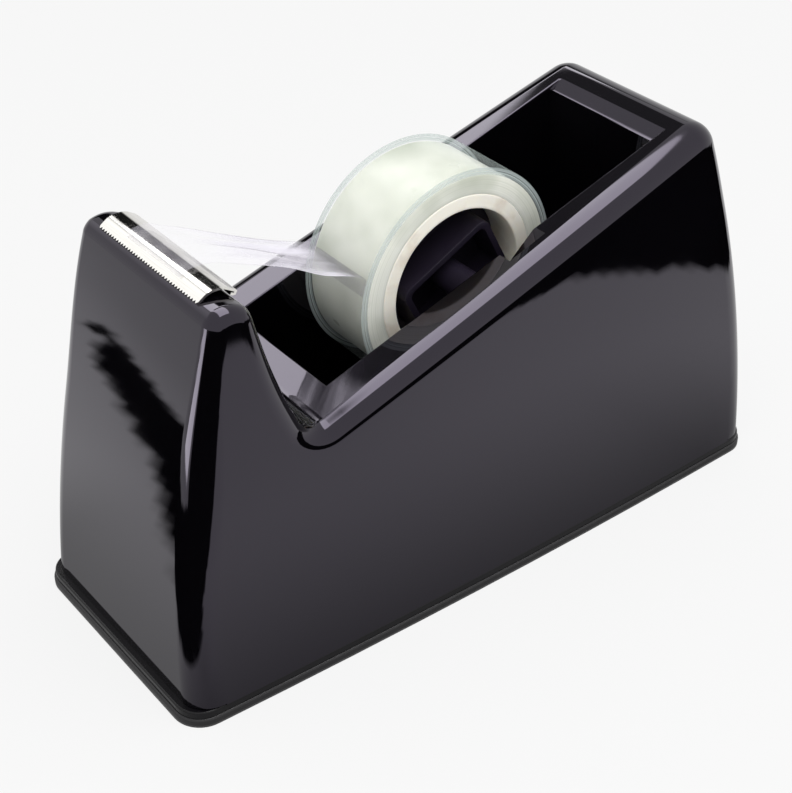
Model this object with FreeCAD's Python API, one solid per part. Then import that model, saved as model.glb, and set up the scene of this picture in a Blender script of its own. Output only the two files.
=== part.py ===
"""Weighted desk tape dispenser.

A moulded housing with a steel cutter, a lift-out hub and a part-used roll of clear tape.

Frame: +Z up, +X across the width, +Y towards the rear; the cutter is at the -Y end.
The origin is the middle of the underside of the anti-slip pad. All sizes are in millimetres.
"""

import FreeCAD, Part
import math
import os

Vector = FreeCAD.Vector

# ---- footprint ----
BASE_LENGTH = 125.8
BASE_WIDTH = 48.2
BASE_CORNER = 5.1
SIDE_BULGE = 1.0

# ---- pad and base plate ----
PAD_HEIGHT = 1.5
PAD_EDGE = 0.45
RIM_HEIGHT = 1.3
RIM_SETBACK = 0.35
RIM_EDGE = 0.3
PLATE_RISE = 1.5
PLATE_CLEARANCE = 0.15

# ---- housing shell ----
FRONT_SETBACK = 1.5
REAR_SETBACK = 0.8
SIDE_SETBACK = 0.4
SHELL_CORNER = 5.0
TOP_HALF_WIDTH = 18.2
TOP_HALF_WIDTH_AT = 70.0
SHELL_WALL = 1.8
EDGE_ROUND = 3.2

# ---- front face and nose ----
NOSE_FRONT_Y = -50.9
NOSE_TOP_Z = 69.0
NOSE_DEPTH = 7.2
NOSE_SHOULDER = 0.9
NOSE_BACK_DROP = 1.5
FRONT_SAG = 2.0
NOSE_BACK_SAG = 0.75
VALLEY_ROUND = 4.0
VALLEY_Y = -35.7

# ---- rear face ----
REAR_TOP_Y = 48.7
REAR_SAG = 3.2

# ---- tape well ----
WELL_WIDTH = 25.6
WELL_FRONT_Y = -28.0
WELL_REAR_Y = 42.2
WELL_RIM_REAR_Z = 68.0
RAIL_SLOPE = 17.8
WELL_FLOOR_Z = 18.0
WELL_WALL = 1.5
REAR_BEVEL_RUN = 2.2
REAR_BEVEL_DROP = 0.9

# ---- roll, hub and axle ----
AXLE_Y = 2.3
AXLE_Z = 50.5
AXLE_DIAMETER = 3.0
SLOT_CLEARANCE = 0.1
SLOT_DEPTH = 2.5
SLOT_MOUTH_Y = 10.2
SLOT_OVERRUN = 7.2
AXLE_END_GAP = 0.35
AXLE_CHAMFER = 0.3
HUB_BORE_CLEARANCE = 0.05
CORE_BORE = 25.4
CORE_WALL = 2.5
TAPE_WIDTH = 15.2
ROLL_DIAMETER = 39.4
HUB_FIT = 0.05
HUB_RIM_WALL = 1.6
HUB_RIM_END_X = 1.5
HUB_WEB = 1.4
HUB_SIDE_GAP = 0.5
HUB_SLEEVE_WALL = 1.2
BOSS_LONG = 19.2
BOSS_SHORT = 12.2
BOSS_CORNER = 1.8
BOSS_WALL = 1.2
BOSS_TILT = 27.0
BOSS_END_SETBACK = 0.2

# ---- cutter blade ----
BLADE_LENGTH = 27.4
BLADE_THICKNESS = 0.45
BLADE_TOP_GAP = 0.75
BLADE_FRONT_RUN = 1.55
BLADE_FRONT_DROP = 0.8
BLADE_FLAT = 1.9
BLADE_BACK_RUN = 1.85
BLADE_BACK_DROP = 1.13
BLADE_HOOK_DROP = 0.25
BLADE_HOOK_RETURN = 0.5
BLADE_HOOK_RISE = 0.3
BLADE_TIP_INSET = 1.65
TOOTH_COUNT = 30
TOOTH_DEPTH = 0.7
SEAT_RIB_WIDTH = 1.2
SEAT_RIB_SPACING = 18.0

# ---- ballast and screws ----
SLAB_SIDE_GAP = 3.0
SLAB_HEIGHT = 9.0
SLAB_END_GAP = 3.0
REAR_BLOCK_WIDTH = 20.0
REAR_BLOCK_HEIGHT = 34.0
BALLAST_GAP = 1.0
SCREW_X = 14.0
SCREW_FRONT_INSET = 8.0
SCREW_REAR_INSET = 8.5
SCREW_SHANK = 2.6
SCREW_HEAD = 5.0
SCREW_HEAD_HEIGHT = 1.4
SCREW_LENGTH = 11.0
SCREW_GAP = 0.1
SCREW_DRIVE_LENGTH = 3.5
SCREW_DRIVE_WIDTH = 0.6
SCREW_DRIVE_DEPTH = 0.6
BOSS_DIAMETER = 6.4
SCREW_BOSS_HEIGHT = 16.0
BOSS_GUSSET = 1.2

# ---- tape leader ----
FILM_THICKNESS = 0.1
FILM_CLEARANCE = 0.35
PEEL_ANGLE = 159.0
PEEL_WRAP = 10.0
PEEL_BEND = 1.2
FILM_SAG = 1.1
FILM_SPAN_STEPS = 6
FILM_WRAP_STEPS = 3

# ---- worked out from the sizes above ----
SEAT_Z = PAD_HEIGHT + RIM_HEIGHT
PLATE_TOP_Z = SEAT_Z + PLATE_RISE
SHELL_FRONT_Y = -BASE_LENGTH / 2 + FRONT_SETBACK
SHELL_REAR_Y = BASE_LENGTH / 2 - REAR_SETBACK
SHELL_HALF_WIDTH = BASE_WIDTH / 2 - SIDE_SETBACK
NOSE_BACK_Y = NOSE_FRONT_Y + NOSE_DEPTH
AXLE_RADIUS = AXLE_DIAMETER / 2
ROLL_RADIUS = ROLL_DIAMETER / 2
CORE_RADIUS = CORE_BORE / 2
TAPE_INNER_RADIUS = CORE_RADIUS + CORE_WALL
HALF_TAPE = TAPE_WIDTH / 2
WELL_HALF = WELL_WIDTH / 2
BLADE_TOP_Z = NOSE_TOP_Z + BLADE_TOP_GAP + BLADE_THICKNESS
BLADE_TIP_Y = NOSE_FRONT_Y + BLADE_TIP_INSET


def rail_z(y):
    """Height of the sloping rail plane at a place along the length."""
    return WELL_RIM_REAR_Z + (y - WELL_REAR_Y) * math.tan(math.radians(RAIL_SLOPE))


def bowed(start, end, sag):
    """Arc edge from start to end that stands sag to the left of the straight line between them."""
    chord = end.sub(start)
    left = Vector(0, -chord.z, chord.y)
    left.normalize()
    middle = start.add(end).multiply(0.5).add(left.multiply(sag))
    return Part.Arc(start, middle, end).toShape()


def on_axle(shape):
    """Turns a shape built along +Z to lie along +X, centred on the axle line."""
    turned = shape.copy()
    turned.rotate(Vector(0, 0, 0), Vector(0, 1, 0), 90)
    turned.translate(Vector(0, AXLE_Y, AXLE_Z))
    return turned


def tube(outer, inner, x_from, x_to):
    """Ring about the axle line between two stations across the width; inner 0 makes it a full disc."""
    ring = Part.makeCylinder(outer, x_to - x_from, Vector(0, 0, x_from))
    if inner > 0:
        ring = ring.cut(Part.makeCylinder(inner, x_to - x_from, Vector(0, 0, x_from)))
    return on_axle(ring)


def rounded_block(size_x, size_y, height, corner_round, low_corner):
    """Block with rounded upright edges, placed by its lowest corner."""
    block = Part.makeBox(size_x, size_y, height, low_corner)
    uprights = [edge for edge in block.Edges if edge.BoundBox.ZLength > height / 2]
    return block.makeFillet(corner_round, uprights)


def footprint_wire(inset, z):
    """Rounded rectangle of the base with gently bowed long sides."""
    half_x = BASE_WIDTH / 2 - inset
    half_y = BASE_LENGTH / 2 - inset
    corner = BASE_CORNER - inset
    flat_y = half_y - corner
    flat_x = half_x - corner
    diagonal = corner * math.sqrt(0.5)
    edges = []
    for turn in (1, -1):
        side_start = Vector(turn * half_x, -turn * flat_y, z)
        side_end = Vector(turn * half_x, turn * flat_y, z)
        side_middle = Vector(turn * (half_x + SIDE_BULGE), 0, z)
        end_start = Vector(turn * flat_x, turn * half_y, z)
        end_finish = Vector(-turn * flat_x, turn * half_y, z)
        first = Vector(turn * (flat_x + diagonal), turn * (flat_y + diagonal), z)
        second = Vector(-turn * (flat_x + diagonal), turn * (flat_y + diagonal), z)
        next_side = Vector(-turn * half_x, turn * flat_y, z)
        edges.append(Part.Arc(side_start, side_middle, side_end).toShape())
        edges.append(Part.Arc(side_end, first, end_start).toShape())
        edges.append(Part.LineSegment(end_start, end_finish).toShape())
        edges.append(Part.Arc(end_finish, second, next_side).toShape())
    return Part.Wire(edges)


def footprint_slab(inset, z, height):
    """Slab with the base's outline."""
    return Part.Face(footprint_wire(inset, z)).extrude(Vector(0, 0, height))


def side_profile():
    """Side view of the housing as a closed wire in the YZ plane, with sharp corners."""
    foot_front = Vector(0, SHELL_FRONT_Y, SEAT_Z)
    nose_front = Vector(0, NOSE_FRONT_Y, NOSE_TOP_Z - NOSE_SHOULDER)
    nose_top = Vector(0, NOSE_FRONT_Y + NOSE_DEPTH / 2, NOSE_TOP_Z)
    nose_back = Vector(0, NOSE_BACK_Y, NOSE_TOP_Z - NOSE_BACK_DROP)
    valley = Vector(0, VALLEY_Y, rail_z(VALLEY_Y))
    rear_top = Vector(0, REAR_TOP_Y, rail_z(REAR_TOP_Y))
    foot_rear = Vector(0, SHELL_REAR_Y, SEAT_Z)
    return Part.Wire([
        bowed(foot_front, nose_front, FRONT_SAG),
        Part.Arc(nose_front, nose_top, nose_back).toShape(),
        bowed(nose_back, valley, -NOSE_BACK_SAG),
        Part.LineSegment(valley, rear_top).toShape(),
        bowed(rear_top, foot_rear, REAR_SAG),
        Part.LineSegment(foot_rear, foot_front).toShape(),
    ])


def rear_wall_y(z):
    """Place along the length of the bowed rear face at a height."""
    share = (z - SEAT_Z) / (rail_z(REAR_TOP_Y) - SEAT_Z)
    straight = SHELL_REAR_Y + (REAR_TOP_Y - SHELL_REAR_Y) * share
    return straight + 4 * REAR_SAG * share * (1 - share)


def clear_top():
    """Height that is clear of the whole housing."""
    return max(NOSE_TOP_Z, rail_z(REAR_TOP_Y)) + EDGE_ROUND


def half_width(z):
    """Half width of the drafted housing at a height, at its ends."""
    drop = (SHELL_HALF_WIDTH - TOP_HALF_WIDTH) / (TOP_HALF_WIDTH_AT - SEAT_Z)
    return SHELL_HALF_WIDTH - drop * (z - SEAT_Z)


def side_planform(inset, z):
    """Plan of the two bowed, drafted sides at a height, running past both ends of the housing."""
    half_x = half_width(z) - inset
    reach = BASE_LENGTH / 2
    front_right = Vector(half_x, -reach, z)
    rear_right = Vector(half_x, reach, z)
    rear_left = Vector(-half_x, reach, z)
    front_left = Vector(-half_x, -reach, z)
    bulge = half_x + SIDE_BULGE
    return Part.Wire([
        Part.Arc(front_right, Vector(bulge, 0, z), rear_right).toShape(),
        Part.LineSegment(rear_right, rear_left).toShape(),
        Part.Arc(rear_left, Vector(-bulge, 0, z), front_left).toShape(),
        Part.LineSegment(front_left, front_right).toShape(),
    ])


def housing_block(inset):
    """Housing as a solid, set in by inset on every face but the underside."""
    profile = side_profile()
    if inset > 0:
        profile = Part.Face(profile).makeOffset2D(-inset).OuterWire
    reach = BASE_WIDTH
    face = Part.Face(profile)
    slab = face.extrude(Vector(2 * reach, 0, 0))
    slab.translate(Vector(-reach, 0, 0))
    planforms = [side_planform(inset, SEAT_Z), side_planform(inset, clear_top())]
    draft = Part.makeLoft(planforms, True, True)
    return slab.common(draft)


def round_edges(solid, radius, wanted):
    """Rounds the edges that the test picks, and those that run on smoothly from them."""
    edges = [edge for edge in solid.Edges if wanted(edge)]
    return solid.makeFillet(radius, edges)


def is_upright_corner(edge):
    """True for the four tall corner edges of the housing."""
    box = edge.BoundBox
    tall = box.ZLength > NOSE_TOP_Z / 2
    at_end = box.Center.y < NOSE_FRONT_Y or box.Center.y > REAR_TOP_Y
    return tall and at_end


def is_cross_edge(edge, y):
    """True for an edge that runs straight across the housing at a place along its length."""
    box = edge.BoundBox
    across = box.XLength > TOP_HALF_WIDTH and box.ZLength < 0.1
    return across and box.ZMin > SEAT_Z and abs(box.Center.y - y) < 0.1


def outer_form():
    """Finished outside of the housing before the well is sunk into it."""
    form = housing_block(0)
    form = round_edges(form, SHELL_CORNER, is_upright_corner)
    form = round_edges(form, VALLEY_ROUND, lambda edge: is_cross_edge(edge, VALLEY_Y))
    return round_edges(form, EDGE_ROUND, lambda edge: is_cross_edge(edge, REAR_TOP_Y))


def well_box(margin, floor_z):
    """Upright block around the tape well, open upwards past the rails."""
    length = WELL_REAR_Y - REAR_BEVEL_RUN - WELL_FRONT_Y
    height = clear_top() - floor_z
    corner = Vector(-WELL_HALF - margin, WELL_FRONT_Y - margin, floor_z)
    return Part.makeBox(WELL_WIDTH + 2 * margin, length + 2 * margin, height, corner)


def rear_bevel():
    """Shallow bevel cut into the rear rim of the well."""
    rear_rim = Vector(-WELL_HALF, WELL_REAR_Y, rail_z(WELL_REAR_Y))
    inner_y = WELL_REAR_Y - REAR_BEVEL_RUN
    inner_low = Vector(-WELL_HALF, inner_y, rail_z(inner_y) - REAR_BEVEL_DROP)
    inner_high = Vector(-WELL_HALF, inner_y, clear_top())
    rear_high = Vector(-WELL_HALF, WELL_REAR_Y, clear_top())
    wire = Part.makePolygon([rear_rim, inner_low, inner_high, rear_high, rear_rim])
    return Part.Face(wire).extrude(Vector(WELL_WIDTH, 0, 0))


def slot_direction():
    """Unit direction of the axle slots, from the seated axle up to the slot mouth."""
    mouth = Vector(0, SLOT_MOUTH_Y - AXLE_Y, rail_z(SLOT_MOUTH_Y) - AXLE_Z)
    mouth.normalize()
    return mouth


def slot_block(half_thick, x_from, x_to, overrun):
    """Round-ended bar along the slot direction, from the seated axle to past the rail."""
    along = slot_direction()
    length = Vector(0, SLOT_MOUTH_Y - AXLE_Y, rail_z(SLOT_MOUTH_Y) - AXLE_Z).Length + overrun
    tilt = math.degrees(math.atan2(along.z, along.y))
    bar = Part.makeBox(x_to - x_from, length, 2 * half_thick, Vector(x_from, 0, -half_thick))
    end = Part.makeCylinder(half_thick, x_to - x_from, Vector(x_from, 0, 0), Vector(1, 0, 0))
    block = bar.fuse(end)
    block.rotate(Vector(0, 0, 0), Vector(1, 0, 0), tilt)
    block.translate(Vector(0, AXLE_Y, AXLE_Z))
    return block


def screw_places():
    """Centres of the four base screws, as x and y."""
    front = SHELL_FRONT_Y + SCREW_FRONT_INSET
    rear = SHELL_REAR_Y - SCREW_REAR_INSET
    return [(side * SCREW_X, y) for side in (-1, 1) for y in (front, rear)]


def screw_boss(x, y):
    """Round post for a base screw, with a gusset out to the side wall."""
    post = Part.makeCylinder(BOSS_DIAMETER / 2, SCREW_BOSS_HEIGHT, Vector(x, y, PLATE_TOP_Z))
    reach = SHELL_HALF_WIDTH + SIDE_BULGE - SCREW_X
    start_x = x if x > 0 else x - reach
    corner = Vector(start_x, y - BOSS_GUSSET / 2, PLATE_TOP_Z)
    return post.fuse(Part.makeBox(reach, BOSS_GUSSET, SCREW_BOSS_HEIGHT, corner))


def blade_profile():
    """Points along the underside of the cutter strip, in the YZ plane, from its teeth to its hook."""
    tip_y = BLADE_TIP_Y
    underside_z = BLADE_TOP_Z - BLADE_THICKNESS
    flat_y = tip_y + BLADE_FRONT_RUN
    back_y = flat_y + BLADE_FLAT
    hook_y = back_y + BLADE_BACK_RUN
    hook_z = underside_z - BLADE_BACK_DROP
    return [
        Vector(0, tip_y, underside_z - BLADE_FRONT_DROP),
        Vector(0, flat_y, underside_z),
        Vector(0, back_y, underside_z),
        Vector(0, hook_y, hook_z),
        Vector(0, hook_y, hook_z - BLADE_HOOK_DROP),
        Vector(0, hook_y - BLADE_HOOK_RETURN, hook_z - BLADE_HOOK_DROP + BLADE_HOOK_RISE),
    ]


def strip_face(points, thickness):
    """Face of a bent strip: the points are one side of it, and the other lies to their left."""
    count = len(points)
    normals = []
    for first, second in zip(points, points[1:]):
        run = second.sub(first)
        normal = Vector(0, -run.z, run.y)
        normal.normalize()
        normals.append(normal)
    far_side = []
    for i in range(count):
        before = normals[max(i - 1, 0)]
        after = normals[min(i, count - 2)]
        middle = before.add(after)
        middle.normalize()
        reach = thickness / middle.dot(after)
        far_side.append(points[i].add(middle.multiply(reach)))
    loop = list(points) + far_side[::-1] + [points[0]]
    return Part.Face(Part.makePolygon(loop))


def seat_ribs():
    """Two ribs on the nose that carry the flat of the cutter."""
    top = blade_profile()[1:3]
    ribs = []
    for side in (-1, 1):
        rib_x = side * SEAT_RIB_SPACING / 2 - SEAT_RIB_WIDTH / 2
        corner = Vector(rib_x, top[0].y, NOSE_TOP_Z - SHELL_WALL / 2)
        size_y = top[1].y - top[0].y
        ribs.append(Part.makeBox(SEAT_RIB_WIDTH, size_y, top[0].z - corner.z, corner))
    return ribs


def outer_shell():
    """Glossy housing: thin walls, the tape well with its two axle slots, and four screw bosses."""
    hollow = round_edges(housing_block(SHELL_WALL), SHELL_CORNER - SHELL_WALL, is_upright_corner)
    hollow = hollow.fuse(foot_opening(0, PLATE_RISE + SHELL_WALL))
    hollow = hollow.cut(well_box(WELL_WALL, WELL_FLOOR_Z - WELL_WALL))
    slot_half = AXLE_RADIUS + SLOT_CLEARANCE
    outer_x = WELL_HALF + SLOT_DEPTH
    reach = SHELL_HALF_WIDTH
    for side in (-1, 1):
        wall = slot_block(slot_half + SHELL_WALL, WELL_HALF, reach, SHELL_WALL)
        if side < 0:
            wall = wall.mirror(Vector(0, 0, 0), Vector(1, 0, 0))
        hollow = hollow.cut(wall)
    for x, y in screw_places():
        hollow = hollow.cut(screw_boss(x, y))
    shell = outer_form().cut(hollow)
    shell = shell.cut(well_box(0, WELL_FLOOR_Z)).cut(rear_bevel())
    for side in (-1, 1):
        slot = slot_block(slot_half, WELL_HALF - WELL_WALL, outer_x, SLOT_OVERRUN)
        if side < 0:
            slot = slot.mirror(Vector(0, 0, 0), Vector(1, 0, 0))
        shell = shell.cut(slot)
    for x, y in screw_places():
        pilot = Part.makeCylinder(SCREW_SHANK / 2, SCREW_LENGTH, Vector(x, y, PLATE_TOP_Z))
        shell = shell.cut(pilot)
    for rib in seat_ribs():
        shell = shell.fuse(rib)
    return shell.removeSplitter()


def foot_opening(inset, height):
    """Block standing in the open foot of the shell, set in by inset from the shell's inner wall."""
    wall = SHELL_WALL + inset
    front = SHELL_FRONT_Y + wall
    rear = SHELL_REAR_Y - wall
    half_x = half_width(SEAT_Z + height) - wall
    low_corner = Vector(-half_x, front, SEAT_Z)
    return rounded_block(2 * half_x, rear - front, height, SHELL_CORNER - wall, low_corner)


def base_plate():
    """Bottom plate: a rim that the shell stands on and a raised part inside it, with screw holes."""
    rim = footprint_slab(RIM_SETBACK, PAD_HEIGHT, RIM_HEIGHT)
    outline = [edge for edge in rim.Edges if edge.BoundBox.ZMin > SEAT_Z - 0.01]
    rim = rim.makeFillet(RIM_EDGE, outline)
    plate = rim.fuse(foot_opening(PLATE_CLEARANCE, PLATE_RISE))
    for x, y in screw_places():
        hole = Part.makeCylinder(SCREW_SHANK / 2 + SCREW_GAP, PLATE_TOP_Z, Vector(x, y, 0))
        sink = Part.makeCylinder(SCREW_HEAD / 2 + SCREW_GAP, SCREW_HEAD_HEIGHT, Vector(x, y, PAD_HEIGHT))
        plate = plate.cut(hole).cut(sink)
    return plate.removeSplitter()


def anti_slip_pad():
    """Soft pad over the whole underside."""
    pad = footprint_slab(0, 0, PAD_HEIGHT)
    outline = [edge for edge in pad.Edges if edge.BoundBox.ZMin > PAD_HEIGHT - 0.01]
    return pad.makeFillet(PAD_EDGE, outline)


def base_screws():
    """Four self-tapping screws that hold the plate to the shell."""
    screws = []
    drives = ((SCREW_DRIVE_LENGTH, SCREW_DRIVE_WIDTH), (SCREW_DRIVE_WIDTH, SCREW_DRIVE_LENGTH))
    for x, y in screw_places():
        head = Part.makeCylinder(SCREW_HEAD / 2, SCREW_HEAD_HEIGHT, Vector(x, y, PAD_HEIGHT))
        shank_z = PAD_HEIGHT + SCREW_HEAD_HEIGHT
        shank = Part.makeCylinder(SCREW_SHANK / 2, SCREW_LENGTH - SCREW_HEAD_HEIGHT, Vector(x, y, shank_z))
        screw = head.fuse(shank)
        for size_x, size_y in drives:
            corner = Vector(x - size_x / 2, y - size_y / 2, PAD_HEIGHT)
            screw = screw.cut(Part.makeBox(size_x, size_y, SCREW_DRIVE_DEPTH, corner))
        screws.append(screw.removeSplitter())
    return Part.makeCompound(screws)


def centre_ballast():
    """Steel slab on the base plate, under the well."""
    front = WELL_FRONT_Y + SLAB_END_GAP
    rear = WELL_REAR_Y - SLAB_END_GAP
    half_x = half_width(PLATE_TOP_Z + SLAB_HEIGHT) - SHELL_WALL - SLAB_SIDE_GAP
    corner = Vector(-half_x, front, PLATE_TOP_Z)
    return Part.makeBox(2 * half_x, rear - front, SLAB_HEIGHT, corner)


def rear_ballast():
    """Steel block on the base plate, behind the well."""
    front = WELL_REAR_Y - REAR_BEVEL_RUN + WELL_WALL + BALLAST_GAP
    nearest = min(rear_wall_y(PLATE_TOP_Z), rear_wall_y(PLATE_TOP_Z + REAR_BLOCK_HEIGHT))
    rear = nearest - SHELL_WALL - BALLAST_GAP
    corner = Vector(-REAR_BLOCK_WIDTH / 2, front, PLATE_TOP_Z)
    return Part.makeBox(REAR_BLOCK_WIDTH, rear - front, REAR_BLOCK_HEIGHT, corner)


def cutter_blade():
    """Bent steel strip with a toothed front edge and a hooked rear edge."""
    profile = blade_profile()
    strip = strip_face(profile, BLADE_THICKNESS).extrude(Vector(BLADE_LENGTH, 0, 0))
    strip.translate(Vector(-BLADE_LENGTH / 2, 0, 0))
    tip = profile[0]
    along = profile[1].sub(profile[0])
    along.normalize()
    normal = Vector(0, -along.z, along.y)
    pitch = BLADE_LENGTH / TOOTH_COUNT
    outside = tip.sub(Vector(along).multiply(TOOTH_DEPTH))
    valley = tip.add(Vector(along).multiply(TOOTH_DEPTH))
    half = BLADE_LENGTH / 2
    points = [Vector(-half, outside.y, outside.z)]
    for i in range(TOOTH_COUNT):
        points.append(Vector(i * pitch - half, valley.y, valley.z))
        points.append(Vector((i + 0.5) * pitch - half, tip.y, tip.z))
    points.append(Vector(half, valley.y, valley.z))
    points.append(Vector(half, outside.y, outside.z))
    points.append(points[0])
    depth = Vector(normal).multiply(BLADE_THICKNESS)
    comb = Part.Face(Part.makePolygon(points)).extrude(Vector(depth).multiply(3))
    comb.translate(Vector(depth).multiply(-1))
    return strip.cut(comb)


def hub_axle():
    """Steel pin whose ends lie in the slots of the well's walls."""
    end_x = WELL_HALF + SLOT_DEPTH - AXLE_END_GAP
    pin = tube(AXLE_RADIUS, 0, -end_x, end_x)
    ends = [edge for edge in pin.Edges if edge.BoundBox.XLength < 0.01]
    return pin.makeChamfer(AXLE_CHAMFER, ends)


def boss_block(inset, height):
    """Rounded block of the hub's end boss about the Z axis, set in by inset."""
    size_x = BOSS_LONG - 2 * inset
    size_y = BOSS_SHORT - 2 * inset
    low_corner = Vector(-size_x / 2, -size_y / 2, HUB_RIM_END_X)
    return rounded_block(size_x, size_y, height, BOSS_CORNER - inset / 2, low_corner)


def hub_drum():
    """Moulded hub: rim for the tape core, web, sleeve for the axle, and a hollow end boss."""
    rim_radius = CORE_RADIUS - HUB_FIT
    rim = tube(rim_radius, rim_radius - HUB_RIM_WALL, -HALF_TAPE, HUB_RIM_END_X)
    web = tube(rim_radius, 0, HUB_RIM_END_X - HUB_WEB, HUB_RIM_END_X)
    bore = AXLE_RADIUS + HUB_BORE_CLEARANCE
    sleeve_x = WELL_HALF - HUB_SIDE_GAP
    sleeve = tube(bore + HUB_SLEEVE_WALL, 0, -sleeve_x, sleeve_x)
    boss_height = HALF_TAPE - BOSS_END_SETBACK - HUB_RIM_END_X
    boss = boss_block(0, boss_height).cut(boss_block(BOSS_WALL, boss_height))
    boss.rotate(Vector(0, 0, 0), Vector(0, 0, 1), 90 + BOSS_TILT)
    hub = rim.fuse(web).fuse(sleeve).fuse(on_axle(boss))
    return hub.cut(tube(bore, 0, -WELL_HALF, WELL_HALF)).removeSplitter()


def tape_core():
    """Plastic core that the tape is wound on."""
    return tube(TAPE_INNER_RADIUS, CORE_RADIUS, -HALF_TAPE, HALF_TAPE)


def tape_winding():
    """Wound tape as one ring on the core."""
    return tube(ROLL_RADIUS, TAPE_INNER_RADIUS, -HALF_TAPE, HALF_TAPE)


def on_circle(radius, angle):
    """Point about the axle line, with the angle taken from +Y towards +Z."""
    turn = math.radians(angle)
    return Vector(0, AXLE_Y + radius * math.cos(turn), AXLE_Z + radius * math.sin(turn))


def tape_leader():
    """Free end of the tape: peels off the front of the roll and lies over the cutter."""
    radius = ROLL_RADIUS + FILM_CLEARANCE
    lift = FILM_CLEARANCE + BLADE_THICKNESS
    blade = blade_profile()
    peel = on_circle(radius, PEEL_ANGLE)
    rear = Vector(0, blade[3].y, blade[3].z + lift + BLADE_THICKNESS)
    flat_rear = Vector(0, blade[2].y, blade[2].z + lift)
    flat_front = Vector(0, blade[1].y, blade[1].z + lift)
    tip = Vector(0, blade[0].y, blade[0].z + lift)
    run = rear.sub(peel)
    length = run.Length
    bend = peel.add(Vector(run).multiply(PEEL_BEND / length)).add(Vector(0, 0, PEEL_BEND / 2))
    points = [tip, flat_front, flat_rear, rear]
    for i in range(1, FILM_SPAN_STEPS):
        share = i / FILM_SPAN_STEPS
        sag = 4 * FILM_SAG * share * (1 - share)
        points.append(rear.add(bend.sub(rear).multiply(share)).sub(Vector(0, 0, sag)))
    points.append(bend)
    for i in range(1, FILM_WRAP_STEPS + 1):
        points.append(on_circle(radius, PEEL_ANGLE + PEEL_WRAP * i / FILM_WRAP_STEPS))
    film = strip_face(points, FILM_THICKNESS).extrude(Vector(TAPE_WIDTH, 0, 0))
    film.translate(Vector(-HALF_TAPE, 0, 0))
    return film


PARTS = {
    "outer_shell": outer_shell,
    "base_plate": base_plate,
    "anti_slip_pad": anti_slip_pad,
    "base_screws": base_screws,
    "centre_ballast": centre_ballast,
    "rear_ballast": rear_ballast,
    "cutter_blade": cutter_blade,
    "hub_axle": hub_axle,
    "tape_leader": tape_leader,
    "hub_drum": hub_drum,
    "tape_core": tape_core,
    "tape_winding": tape_winding,
}


def main():
    """Builds every part and writes it to its own file."""
    os.makedirs("parts", exist_ok=True)
    for name, build in PARTS.items():
        build().exportStep(os.path.join("parts", name + ".step"))


main()
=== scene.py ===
"""Looks of a small weighted desk tape dispenser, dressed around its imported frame.

The frame gives every place: +Z is up, +Y runs to the rear, and the cutter is at the -Y end.
Sizes in the classes below are in millimetres, and MM turns them into Blender's metres.
"""

import logging
import math
from dataclasses import dataclass, field
from enum import Enum
from typing import Callable, Iterable, Sequence

import bmesh
import bpy
from mathutils import Euler, Matrix, Vector, noise


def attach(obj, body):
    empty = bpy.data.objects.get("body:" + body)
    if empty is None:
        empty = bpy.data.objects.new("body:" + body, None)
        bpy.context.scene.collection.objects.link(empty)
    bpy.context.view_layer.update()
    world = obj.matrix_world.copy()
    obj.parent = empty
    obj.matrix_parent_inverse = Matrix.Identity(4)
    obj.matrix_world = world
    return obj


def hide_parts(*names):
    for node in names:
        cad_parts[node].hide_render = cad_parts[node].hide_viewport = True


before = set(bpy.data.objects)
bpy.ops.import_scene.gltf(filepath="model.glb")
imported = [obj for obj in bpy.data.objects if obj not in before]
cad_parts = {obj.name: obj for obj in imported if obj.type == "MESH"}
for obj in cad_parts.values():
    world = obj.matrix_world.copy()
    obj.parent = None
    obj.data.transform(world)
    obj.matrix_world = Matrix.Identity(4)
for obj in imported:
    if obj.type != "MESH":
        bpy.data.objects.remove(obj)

MM = 0.001
LOG = logging.getLogger("dispenser")
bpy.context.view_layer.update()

Pair = tuple[float, float]
Colour = tuple[float, float, float]

AXLE_AT: Pair = (2.3, 50.5)
ARC_HANDLE = 0.5523  # handle length of a curve that rounds a corner like a circle, for each unit of setback


class Body(Enum):
    """Rigid bodies of the frame that a piece can ride on."""

    HOUSING = "housing"
    CARRIER = "axle_carrier"
    ROLL = "roll"


class Slot(Enum):
    """Names of material slots for the new pieces; the pieces get their materials directly."""

    SHELL = "shell_black"
    BLADE = "blade_steel"
    FILM = "tape_film"
    HUB = "hub_black"
    CORE = "core_cream"
    TAPE = "tape_clear"


# ---------------------------------------------------------------- finishes


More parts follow.
